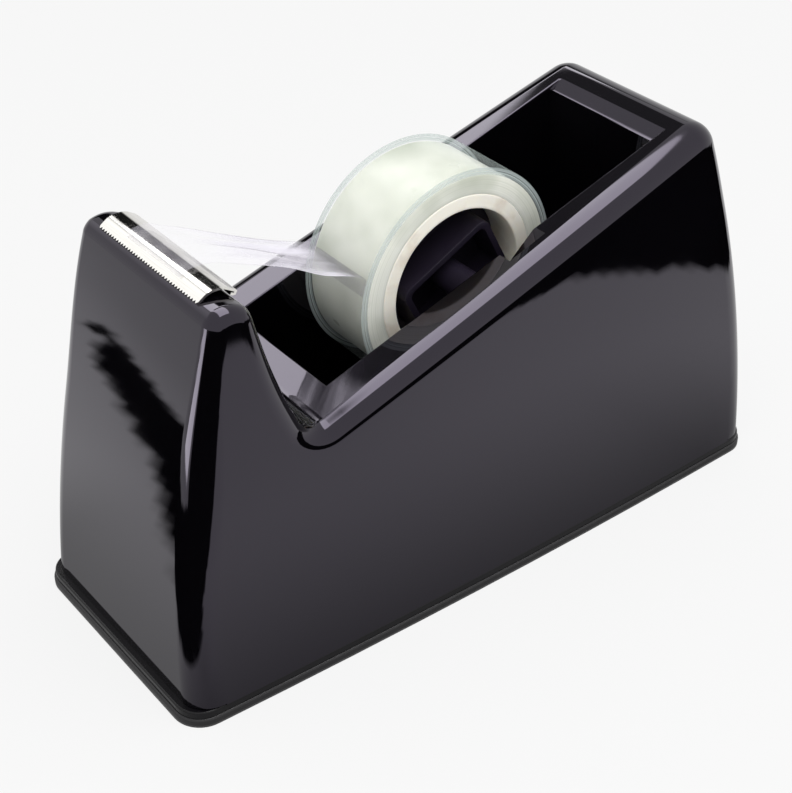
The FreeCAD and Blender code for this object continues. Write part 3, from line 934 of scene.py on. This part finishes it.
    def slot_cutter(self, side: int, finish: bpy.types.Material) -> bpy.types.Object:
        """Solid that cuts one slanted axle slot into a wall of the well.

        Args:
            side: 1 for the +X wall and -1 for the other.
            finish: Material of the cut.

        Returns:
            The cutting solid.
        """
        axle = Vector(self.axle)
        way = (Vector((self.slot_mouth, self.rail_height(self.slot_mouth))) - axle).normalized()
        across = Vector((-way.y, way.x)) * self.slot_half
        mouth = axle + way * self.slot_overrun
        outline = [tuple(mouth + across), tuple(mouth - across)]
        start = math.atan2(-across.y, -across.x)
        for i in range(self.slot_steps + 1):
            angle = start - math.pi * i / self.slot_steps
            outline.append(tuple(axle + Vector((math.cos(angle), math.sin(angle))) * self.slot_half))
        ends = (side * (self.well_half_width - 1.0), side * (self.well_half_width + self.slot_depth))
        return self.prism(f"slot_cutter_{side}", outline, min(ends), max(ends), finish)

    @staticmethod
    def prism(name: str, outline: Sequence[Pair], low: float, high: float,
              finish: bpy.types.Material) -> bpy.types.Object:
        """Closed prism across the width.

        Args:
            name: Name of the object.
            outline: Its outline as y and z.
            low: Lowest x.
            high: Highest x.
            finish: Its material.

        Returns:
            The prism.
        """
        mesh = bmesh.new()
        left = [mesh.verts.new((low, y, z)) for y, z in outline]
        right = [mesh.verts.new((high, y, z)) for y, z in outline]
        mesh.faces.new(left)
        mesh.faces.new(right[::-1])
        for i in range(len(outline)):
            k = (i + 1) % len(outline)
            mesh.faces.new((left[i], right[i], right[k], left[k]))
        return to_object(name, mesh, finish, smooth=False)

    def build(self, finish: bpy.types.Material) -> list[bpy.types.Object]:
        """Builds the shell and its ribs.

        Args:
            finish: Glossy moulded plastic.

        Returns:
            The pieces.
        """
        shell = to_object("housing_shell", self.outer_mesh(), finish)
        cutters = [self.well_cutter(finish), self.slot_cutter(1, finish), self.slot_cutter(-1, finish)]
        for cutter in cutters:
            cut = shell.modifiers.new(cutter.name, "BOOLEAN")
            cut.operation = "DIFFERENCE"
            cut.solver = "EXACT"
            cut.object = cutter
        apply_modifiers(shell)
        for cutter in cutters:
            bpy.data.objects.remove(cutter)
        soften(shell, self.lip_round, 3, 40.0, self.on_rim)
        ribs = [self.seat_rib(side, finish) for side in (-1, 1)]
        return [shell, *ribs]

    def on_rim(self, point: Vector) -> bool:
        """True for a point on the mouth of the well or of its slots."""
        reach = self.well_half_width + self.slot_depth + 0.05
        across = abs(point.x) < reach and self.well_front - 0.05 < point.y < self.rim_rear[0] + 0.05
        return across and point.z > self.rail_height(point.y) - self.ledge_drop - 0.1

    def seat_rib(self, side: int, finish: bpy.types.Material) -> bpy.types.Object:
        """One rib between the nose and the cutter."""
        middle = side * self.seat_spacing / 2.0
        low, high = middle - self.seat_width / 2.0, middle + self.seat_width / 2.0
        base = self.nose_front[1]
        outline = [(self.seat_y[0], base), (self.seat_y[1], base),
                   (self.seat_y[1], self.seat_top), (self.seat_y[0], self.seat_top)]
        rib = self.prism("seat_rib_left" if side < 0 else "seat_rib_right", outline, low, high, finish)
        soften(rib, 0.15)
        return rib

    def dress(self, pieces: Sequence[bpy.types.Object]) -> None:
        """Puts the pieces on their body in place of the plain shell."""
        fit_pieces(pieces, Body.HOUSING)
        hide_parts("outer_shell")


@dataclass
class Cutter:
    """The bent steel strip with a fine toothed front edge and a hooked rear edge."""

    tip: Pair = (-49.95, 68.5)
    flat_front: Pair = (-48.1, 69.75)
    flat_back: Pair = (-45.8, 69.75)
    back: Pair = (-43.95, 68.62)
    hook: Pair = (-43.95, 68.37)
    hook_end: Pair = (-44.45, 68.67)
    length: float = 27.4
    thickness: float = 0.42
    teeth: int = 40
    tooth_depth: float = 0.42
    columns_per_tooth: int = 6
    rows: int = 46
    crowding: float = 1.15

    def path(self) -> list[Vector]:
        """Smoothly bent line of the strip's inner side, from the teeth to the hook."""
        corners = [self.tip, self.flat_front, self.flat_back, self.back, self.hook, self.hook_end]
        edges = [Bow(a, b) for a, b in zip(corners, corners[1:])]
        return rounded_path(edges, (2.6, 2.6, 0.15, 0.12), (4, 4, 4, 2, 3), 8)[0]

    def build(self, finish: bpy.types.Material) -> bpy.types.Object:
        """Builds the strip.

        Args:
            finish: Bright rolled steel.

        Returns:
            The strip.
        """
        path = self.path()
        travelled = [0.0]
        for a, b in zip(path, path[1:]):
            travelled.append(travelled[-1] + (b - a).length)

        def along(distance: float) -> Vector:
            """Point of the path at a distance from its start."""
            for k in range(1, len(path)):
                if distance <= travelled[k] or k == len(path) - 1:
                    share = (distance - travelled[k - 1]) / (travelled[k] - travelled[k - 1])
                    return path[k - 1].lerp(path[k], min(max(share, 0.0), 1.0))
            return path[-1]

        mesh = bmesh.new()
        columns = self.teeth * self.columns_per_tooth
        rows = []
        for i in range(columns + 1):
            phase = (i % self.columns_per_tooth) / self.columns_per_tooth
            start = self.tooth_depth * abs(2.0 * phase - 1.0)
            x = self.length * (i / columns - 0.5)
            row = []
            for j in range(self.rows + 1):
                share = (j / self.rows) ** self.crowding
                point = along(start + (travelled[-1] - start) * share)
                row.append(Vector((x, point.x, point.y)))
            rows.append(row)
        add_grid(mesh, rows)
        strip = to_object("cutter_strip", mesh, finish)
        normals_up = strip.data.polygons[self.rows // 3].normal.z > 0
        solid = strip.modifiers.new("thickness", "SOLIDIFY")
        solid.thickness = self.thickness * MM
        solid.offset = 1.0 if normals_up else -1.0
        solid.use_even_offset = True
        apply_modifiers(strip)
        strip.data.set_sharp_from_angle(angle=math.radians(40.0))
        return strip

    def dress(self, strip: bpy.types.Object) -> None:
        """Puts the strip on the housing in place of the plain one."""
        fit_pieces([strip], Body.HOUSING)
        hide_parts("cutter_blade")


@dataclass
class Hub:
    """Black hub: a rim for the core, a web, a sleeve and a hollow end boss."""

    axle: Pair = AXLE_AT
    rim_radius: float = 12.65
    rim_wall: float = 1.6
    rim_x: Pair = (-7.6, 1.5)
    web: float = 1.4
    sleeve_radius: float = 2.75
    bore: float = 1.55
    sleeve_reach: float = 12.3
    boss_long: float = 19.2
    boss_short: float = 12.2
    boss_corner: float = 1.8
    boss_wall: float = 1.2
    boss_end: float = 7.4
    boss_root: float = 0.3
    boss_tilt: float = 27.0
    edge: float = 0.22

    def boss_outline(self, inset: float) -> list[Pair]:
        """Rounded rectangle of the boss in the YZ plane, set in by inset."""
        half_long = self.boss_long / 2.0 - inset
        half_short = self.boss_short / 2.0 - inset
        corner = self.boss_corner - inset / 2.0
        tilt = math.radians(self.boss_tilt)
        points: list[Pair] = []
        for number, (sy, sz) in enumerate(((1, 1), (-1, 1), (-1, -1), (1, -1))):
            for i in range(7):
                angle = math.radians(90.0 * number + 15.0 * i)
                y = sy * (half_long - corner) + corner * math.cos(angle)
                z = sz * (half_short - corner) + corner * math.sin(angle)
                points.append((self.axle[0] + y * math.cos(tilt) - z * math.sin(tilt),
                               self.axle[1] + y * math.sin(tilt) + z * math.cos(tilt)))
        return points

    def build(self, finish: bpy.types.Material) -> list[bpy.types.Object]:
        """Builds the hub's turned part and its boss.

        Args:
            finish: Satin moulded plastic.

        Returns:
            The pieces.
        """
        lathe = Lathe(self.axle, 96)
        mesh = bmesh.new()
        x_low, x_high = self.rim_x
        web_x = x_high - self.web
        inner = self.rim_radius - self.rim_wall
        reach = self.sleeve_reach
        lathe.add(mesh, [
            (x_low, self.rim_radius), (x_high, self.rim_radius), (x_high, self.sleeve_radius),
            (reach, self.sleeve_radius), (reach, self.bore), (-reach, self.bore),
            (-reach, self.sleeve_radius), (web_x, self.sleeve_radius), (web_x, inner), (x_low, inner)])
        drum = to_object("hub_drum_turned", mesh, finish)
        soften(drum, self.edge)
        mesh = bmesh.new()
        loops = []
        root = x_high - self.boss_root
        for inset, x in ((0.0, root), (0.0, self.boss_end), (self.boss_wall, self.boss_end),
                         (self.boss_wall, root)):
            loops.append([Vector((x, y, z)) for y, z in self.boss_outline(inset)])
        add_grid(mesh, loops, around=True, closed=True)
        boss = to_object("hub_end_boss", mesh, finish)
        soften(boss, self.edge)
        return [drum, boss]

    def dress(self, pieces: Sequence[bpy.types.Object]) -> None:
        """Puts the hub on the roll's body in place of the plain one."""
        fit_pieces(pieces, Body.ROLL)
        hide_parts("hub_drum")


@dataclass
class TapeRoll:
    """The core and the wound tape: cloudy inner turns under a few clear outer ones."""

    axle: Pair = AXLE_AT
    half_width: float = 7.6
    bore: float = 12.7
    core_radius: float = 15.2
    milky_radius: float = 18.45
    outer_radius: float = 19.7
    turn_gap: float = 0.05
    end_inset: float = 0.05
    turn_ridges: int = 26
    ridge: float = 0.03

    def build(self, milky: bpy.types.Material, clear: bpy.types.Material,
              cream: bpy.types.Material) -> list[bpy.types.Object]:
        """Builds the core and the turns.

        Args:
            milky: Finish of the inner turns.
            clear: Finish of the outer turns.
            cream: Finish of the core.

        Returns:
            Core, inner turns and outer turns.
        """
        lathe = Lathe(self.axle, 192)
        half = self.half_width
        core = bmesh.new()
        lathe.add(core, rounded_ring(-half, half, self.bore, self.core_radius - 0.01, 0.2, 5, 0.05),
                  self.core_wobble)
        inner = bmesh.new()
        lathe.add(inner, rounded_ring(-half + self.end_inset, half - self.end_inset, self.core_radius,
                                      self.milky_radius, 0.08, self.turn_ridges, self.ridge))
        outer = bmesh.new()
        within = self.milky_radius + self.turn_gap
        lathe.add(outer, [(half, self.outer_radius), (half, within),
                          (-half, within), (-half, self.outer_radius)])
        pieces = [to_object("tape_core_ring", core, cream), to_object("tape_inner_turns", inner, milky),
                  to_object("tape_outer_turns", outer, clear)]
        for piece in pieces:
            piece.data.set_sharp_from_angle(angle=math.radians(50.0))
        return pieces

    @staticmethod
    def core_wobble(angle: float, x: float) -> float:
        """Slight out-of-round of the core's cut ends."""
        return 0.03 * math.sin(5.0 * angle + x) * math.cos(3.0 * angle)

    def dress(self, pieces: Sequence[bpy.types.Object]) -> None:
        """Puts the core and turns on the roll's body in place of the plain rings."""
        core, inner, outer = pieces
        fit_pieces([core], Body.ROLL)
        fit_pieces([inner, outer], Body.ROLL)
        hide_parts("tape_core")
        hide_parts("tape_winding")


@dataclass
class Leader:
    """The free end of the tape, from the front of the roll over the cutter."""

    half_width: float = 7.6
    far_edge: list[Pair] = field(default_factory=lambda: [
        (-16.9, 54.4), (-16.2, 57.2), (-18.2, 58.1), (-24.0, 60.2), (-31.0, 63.4), (-37.5, 66.6),
        (-42.5, 69.2), (-45.2, 70.55), (-47.6, 70.6), (-49.1, 69.95)])
    near_edge: list[Pair] = field(default_factory=lambda: [
        (-16.9, 54.4), (-16.3, 57.4), (-18.8, 59.0), (-24.2, 61.4), (-30.5, 65.2), (-36.8, 68.0),
        (-42.3, 70.0), (-45.2, 70.6), (-47.6, 70.6), (-49.1, 69.95)])
    crease: float = 0.28
    steps: int = 64
    columns: int = 36
    thickness: float = 0.06

    @staticmethod
    def spline(points: Sequence[Pair], share: float) -> Vector:
        """Smooth curve through points.

        Args:
            points: Points as y and z.
            share: Place along it, from 0 to 1.

        Returns:
            The point.
        """
        count = len(points) - 1
        k = min(int(share * count), count - 1)
        t = share * count - k
        p0, p1 = Vector(points[max(k - 1, 0)]), Vector(points[k])
        p2, p3 = Vector(points[k + 1]), Vector(points[min(k + 2, count)])
        return 0.5 * ((2 * p1) + (p2 - p0) * t + (2 * p0 - 5 * p1 + 4 * p2 - p3) * t * t
                      + (3 * p1 - p0 - 3 * p2 + p3) * t ** 3)

    def build(self, finish: bpy.types.Material) -> bpy.types.Object:
        """Builds the film.

        Args:
            finish: Clear thin film.

        Returns:
            The film.
        """
        mesh = bmesh.new()
        rows = []
        for i in range(self.steps + 1):
            share = i / self.steps
            far, near = self.spline(self.far_edge, share), self.spline(self.near_edge, share)
            free = smoothstep((share - 0.2) / 0.15) * smoothstep((0.72 - share) / 0.15)
            row = []
            for j in range(self.columns + 1):
                across = j / self.columns
                point = far.lerp(near, across)
                broad = math.sin(9.0 * across + 4.0 * share)
                fine = 0.6 * math.sin(21.0 * across - 7.0 * share)
                lift = self.crease * free * (broad + fine)
                row.append(Vector((self.half_width * (2.0 * across - 1.0), point.x, point.y + lift)))
            rows.append(row)
        add_grid(mesh, rows)
        film = to_object("tape_free_end", mesh, finish)
        solid = film.modifiers.new("thickness", "SOLIDIFY")
        solid.thickness = self.thickness * MM
        apply_modifiers(film)
        return film

    def dress(self, film: bpy.types.Object) -> None:
        """Puts the film on the axle carrier in place of the plain one."""
        fit_pieces([film], Body.CARRIER)
        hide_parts("tape_leader")


@dataclass
class Base:
    """Plate, pad, screws, weights and axle, which keep their own solids and get finishes."""

    def dress(self) -> None:
        """Gives each carried-over node its finish."""
        finishes = {
            "base_plate": MouldedSatin("plate_satin", roughness=(0.12, 0.24)).build(),
            "anti_slip_pad": FoamRubber().build(),
            "base_screws": RolledSteel("zinc_screw", roughness=(0.25, 0.4)).build(),
            "centre_ballast": RoughIron("centre_iron").build(),
            "rear_ballast": RoughIron("rear_iron").build(),
            "hub_axle": RolledSteel("ground_pin").build(),
        }
        for node, finish in finishes.items():
            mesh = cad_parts[node].data
            mesh.materials.clear()
            mesh.materials.append(finish)
            LOG.info("%s: %s", node, finish.name)


# ---------------------------------------------------------------- studio


def grey(level: float) -> tuple[float, float, float, float]:
    """Neutral colour of one brightness."""
    return level, level, level, 1.0


def bare_material(name: str) -> tuple[bpy.types.Material, bpy.types.NodeTree, bpy.types.NodeSocket]:
    """Makes a stage material with nothing but an output.

    Args:
        name: The material's name.

    Returns:
        The material, its node tree and the output's surface socket.
    """
    material = bpy.data.materials.new(name)
    material.use_nodes = True
    tree = material.node_tree
    tree.nodes.clear()
    return material, tree, tree.nodes.new("ShaderNodeOutputMaterial").inputs["Surface"]


@dataclass(frozen=True)
class Patch:
    """Soft-edged patch of one brightness on a reflector card."""

    outline: tuple[Pair, ...]
    glow: float
    edge: float = 4.0
    ripple: float = 0.0

    def cover(self, x: float, y: float) -> float:
        """How much of the patch lies over a point.

        Args:
            x: Place of the point in millimetres.
            y: Place of the point in millimetres.

        Returns:
            0 outside, 1 inside, and between them across the soft edge.
        """
        if self.ripple:
            x += self.ripple * noise.noise(Vector((x / 7.0, y / 16.0, 0.0)))
            y += self.ripple * noise.noise(Vector((x / 6.0, y / 14.0, 5.0)))
        inside = False
        nearest = 1.0e9
        for (ax, ay), (bx, by) in zip(self.outline, self.outline[1:] + self.outline[:1]):
            if (ay > y) != (by > y) and x < (bx - ax) * (y - ay) / (by - ay) + ax:
                inside = not inside
            run_x, run_y = bx - ax, by - ay
            share = ((x - ax) * run_x + (y - ay) * run_y) / (run_x * run_x + run_y * run_y)
            share = min(max(share, 0.0), 1.0)
            nearest = min(nearest, math.hypot(x - ax - run_x * share, y - ay - run_y * share))
        distance = -nearest if inside else nearest
        return smoothstep(0.5 - distance / self.edge)


@dataclass
class Card:
    """A level reflector of the studio that only glossy surfaces see, with patches of light and dark."""

    name: str
    height: float
    xs: list[float]
    ys: list[float]
    base: float
    patches: tuple[Patch, ...]

    @staticmethod
    def stations(low: float, high: float, step: float, outer: Sequence[float]) -> list[float]:
        """Grid stations: even ones from low to high, and some further out."""
        count = round((high - low) / step)
        return sorted({*(low + step * i for i in range(count + 1)), *outer})

    def glow_at(self, x: float, y: float) -> float:
        """Brightness at a point of the card."""
        glow = self.base
        for patch in self.patches:
            glow += (patch.glow - glow) * patch.cover(x, y)
        return glow

    def build(self) -> bpy.types.Object:
        """Builds the card and hides it from every ray but glossy ones."""
        mesh = bmesh.new()
        layer = mesh.verts.layers.float.new("glow")
        verts = add_grid(mesh, [[Vector((x, y, self.height)) for x in self.xs] for y in self.ys])
        for row in verts:
            for vert in row:
                vert[layer] = self.glow_at(vert.co.x, vert.co.y)
        card = to_object(self.name, mesh, self.finish(), smooth=False)
        for ray in ("camera", "diffuse", "shadow", "transmission", "volume_scatter"):
            setattr(card, f"visible_{ray}", False)
        return card

    def finish(self) -> bpy.types.Material:
        """Emission as strong as the mesh's glow values."""
        material, tree, output = bare_material(self.name)
        light = tree.nodes.new("ShaderNodeEmission")
        glow = tree.nodes.new("ShaderNodeAttribute")
        glow.attribute_name = "glow"
        tree.links.new(glow.outputs["Fac"], light.inputs["Strength"])
        tree.links.new(light.outputs["Emission"], output)
        return material


@dataclass
class Studio:
    """Pale floor, soft white surroundings, the reflectors and the camera."""

    target: tuple[float, float, float] = (0.0, -4.53, 26.08)
    distance: float = 283.53
    azimuth: float = 52.22
    elevation: float = 35.12
    roll: float = 0.19
    lens: float = 74.59
    sensor: float = 36.0
    clip: Pair = (0.01, 20.0)
    pale: float = 0.93
    floor_glow: float = 0.915
    floor_half: float = 3000.0
    floor_cells: int = 12
    table_card_height: float = 0.4
    ceiling_card_height: float = 400.0
    shadow_share: float = 0.10
    key_size: Pair = (0.30, 0.55)
    key_place: tuple[float, float, float] = (0.14, -0.02, 0.42)
    key_tilt: float = 16.0
    key_watts: float = 1.2

    def camera(self) -> None:
        """Adds the camera and makes it the scene's."""
        data = bpy.data.cameras.new("studio_camera")
        data.lens = self.lens
        data.sensor_width = self.sensor
        data.sensor_fit = "HORIZONTAL"
        data.clip_start, data.clip_end = self.clip
        camera = bpy.data.objects.new("studio_camera", data)
        bpy.context.scene.collection.objects.link(camera)
        a, e, r = (math.radians(v) for v in (self.azimuth, self.elevation, self.roll))
        back = Vector((math.cos(e) * math.sin(a), -math.cos(e) * math.cos(a), math.sin(e)))
        right = Vector((math.cos(a), math.sin(a), 0.0))
        up = back.cross(right)
        right, up = right * math.cos(r) + up * math.sin(r), up * math.cos(r) - right * math.sin(r)
        place = Vector(self.target) * MM + back * self.distance * MM
        turn = Matrix((right, up, back)).transposed().to_4x4()
        camera.matrix_world = Matrix.Translation(place) @ turn
        bpy.context.scene.camera = camera

    def floor(self) -> None:
        """Adds the pale floor, which takes only a faint shadow."""
        mesh = bmesh.new()
        lines = [self.floor_half * (2.0 * i / self.floor_cells - 1.0) for i in range(self.floor_cells + 1)]
        add_grid(mesh, [[Vector((x, y, 0.0)) for x in lines] for y in lines])
        material, tree, output = bare_material("pale_floor")
        shared = tree.nodes.new("ShaderNodeMixShader")
        shared.inputs["Fac"].default_value = self.shadow_share
        glow = tree.nodes.new("ShaderNodeEmission")
        glow.inputs["Color"].default_value = grey(self.floor_glow)
        matt = tree.nodes.new("ShaderNodeBsdfDiffuse")
        matt.inputs["Color"].default_value = grey(self.pale)
        tree.links.new(glow.outputs["Emission"], shared.inputs[1])
        tree.links.new(matt.outputs["BSDF"], shared.inputs[2])
        tree.links.new(shared.outputs["Shader"], output)
        floor = to_object("pale_floor", mesh, material)

    def surroundings(self) -> None:
        """Sets the soft white surroundings."""
        world = bpy.data.worlds.new("soft_white")
        world.use_nodes = True
        background = world.node_tree.nodes["Background"]
        background.inputs["Color"].default_value = grey(self.pale)
        background.inputs["Strength"].default_value = 1.0
        bpy.context.scene.world = world
        bpy.context.scene.view_settings.view_transform = "Standard"

    def softbox(self) -> None:
        """Adds one large soft key light above the right side."""
        data = bpy.data.lights.new("soft_key", "AREA")
        data.shape = "RECTANGLE"
        data.size, data.size_y = self.key_size
        data.energy = self.key_watts
        light = bpy.data.objects.new("soft_key", data)
        light.location = self.key_place
        light.rotation_euler = Euler((0.0, math.radians(self.key_tilt), 0.0))
        light.visible_glossy = False
        bpy.context.scene.collection.objects.link(light)

    def table_card(self) -> Card:
        """Card just over the floor: shaded at the foot, with a dark gap round the front and right."""
        foot_shade = Patch(((-34, -68), (34, -68), (38, 55), (34, 66), (-34, 66)), 0.08, 84.0)
        lit_right = Patch(((24, 20), (170, 20), (170, 220), (24, 220)), 1.02, 90.0)
        lit_front = Patch(((-260, -200), (-20, -110), (40, -60), (-60, -60), (-260, -110)), 1.12, 50.0)
        far_front = Patch((
            (-1200, -1200), (-40, -1200), (-30, -155), (-300, -175), (-1200, -260),
        ), 0.86, 30.0)
        gleam = Patch(((-44, -172), (6, -172), (20, -1200), (-420, -1200)), 5.5, 5.0)
        gap = Patch((
            (-125, -136), (-113, -131), (-106, -128), (-93, -124), (-77, -117), (-65, -113), (-51, -106),
            (-30, -93), (-12, -84), (5, -78), (25, -75), (45, -77), (62, -82), (85, -72), (109, -64),
            (122, -48), (132, -28), (141, -5), (143, 12), (136, 32), (122, 54), (112, 76), (106, 95),
            (94, 111), (84, 118), (73, 128), (55, 142), (20, 156), (0, 400), (1200, 1200), (1200, -1200),
            (60, -1200), (20, -164), (-20, -145), (-60, -140), (-86, -141), (-106, -146), (-129, -154),
            (-148, -157), (-140, -146), (-133, -150),
        ), 0.0, 3.0, 3.0)
        coarse = (-1200, -700, -450, -320, -250, 250, 350, 500, 800, 1200)
        xs = Card.stations(-192, 180, 3.2, coarse)
        ys = Card.stations(-228, 220, 3.2, coarse)
        patches = (far_front, lit_right, lit_front, foot_shade, gleam, gap)
        return Card("table_card", self.table_card_height, xs, ys, self.pale, patches)

    def ceiling_card(self) -> Card:
        """Card overhead: a wide softbox, a window past a dark flag, a dark corner and a front light."""
        softbox = Patch(((-252, -34), (138, -34), (140, 132), (-252, 132)), 5.4, 12.0)
        window = Patch((
            (-420, -34), (-252, -34), (-252, 3), (-316, 2), (-322, 60), (-345, 228), (-362, 340), (-388, 340),
            (-388, 120), (-420, 60),
        ), 5.2, 9.0)
        flag = Patch(((-316, 3), (-252, 4), (-240, 250), (-350, 250), (-343, 228), (-322, 60)), 0.13, 6.0)
        dark_corner = Patch(((-1500, 60), (-424, 60), (-392, 120), (-392, 450), (-1500, 450)), 0.01, 6.0)
        front_light = Patch(((-560, -280), (-270, -280), (-270, -80), (-560, -80)), 1.5, 40.0)
        xs = Card.stations(-500, 200, 8.0, (-1500, -900, 350, 700, 1500))
        ys = Card.stations(-200, 360, 8.0, (-1500, -900, -500, 600, 1000, 1500))
        patches = (front_light, softbox, flag, window, dark_corner)
        return Card("ceiling_card", self.ceiling_card_height, xs, ys, self.pale, patches)

    def build(self) -> None:
        """Sets up everything round the object."""
        self.camera()
        self.floor()
        self.surroundings()
        self.softbox()
        self.table_card().build()
        self.ceiling_card().build()


def main() -> None:
    """Builds every sub-assembly in order and reports its pieces."""
    logging.basicConfig(level=logging.INFO, format="%(name)s: %(message)s")
    Studio().build()
    gloss = MouldedGloss().build()
    housing = Housing()
    shell = housing.build(gloss)
    housing.dress(shell)
    cutter = Cutter()
    bright = RolledSteel("cutter_steel", (0.60, 0.585, 0.55), (0.80, 0.79, 0.76), (0.05, 0.12)).build()
    strip = cutter.build(bright)
    cutter.dress(strip)
    hub = Hub()
    satin = MouldedSatin("hub_satin", (0.009, 0.007, 0.013), (0.016, 0.012, 0.023)).build()
    hub_pieces = hub.build(satin)
    hub.dress(hub_pieces)
    roll = TapeRoll()
    roll_pieces = roll.build(MilkyTurns().build(), ClearTurns().build(), CreamPlastic().build())
    roll.dress(roll_pieces)
    leader = Leader()
    film = leader.build(ThinFilm().build())
    leader.dress(film)
    Base().dress()
    for piece in (*shell, strip, *hub_pieces, *roll_pieces, film):
        LOG.info("%s: %d faces", piece.name, len(piece.data.polygons))


if __name__ == "__main__":
    main()
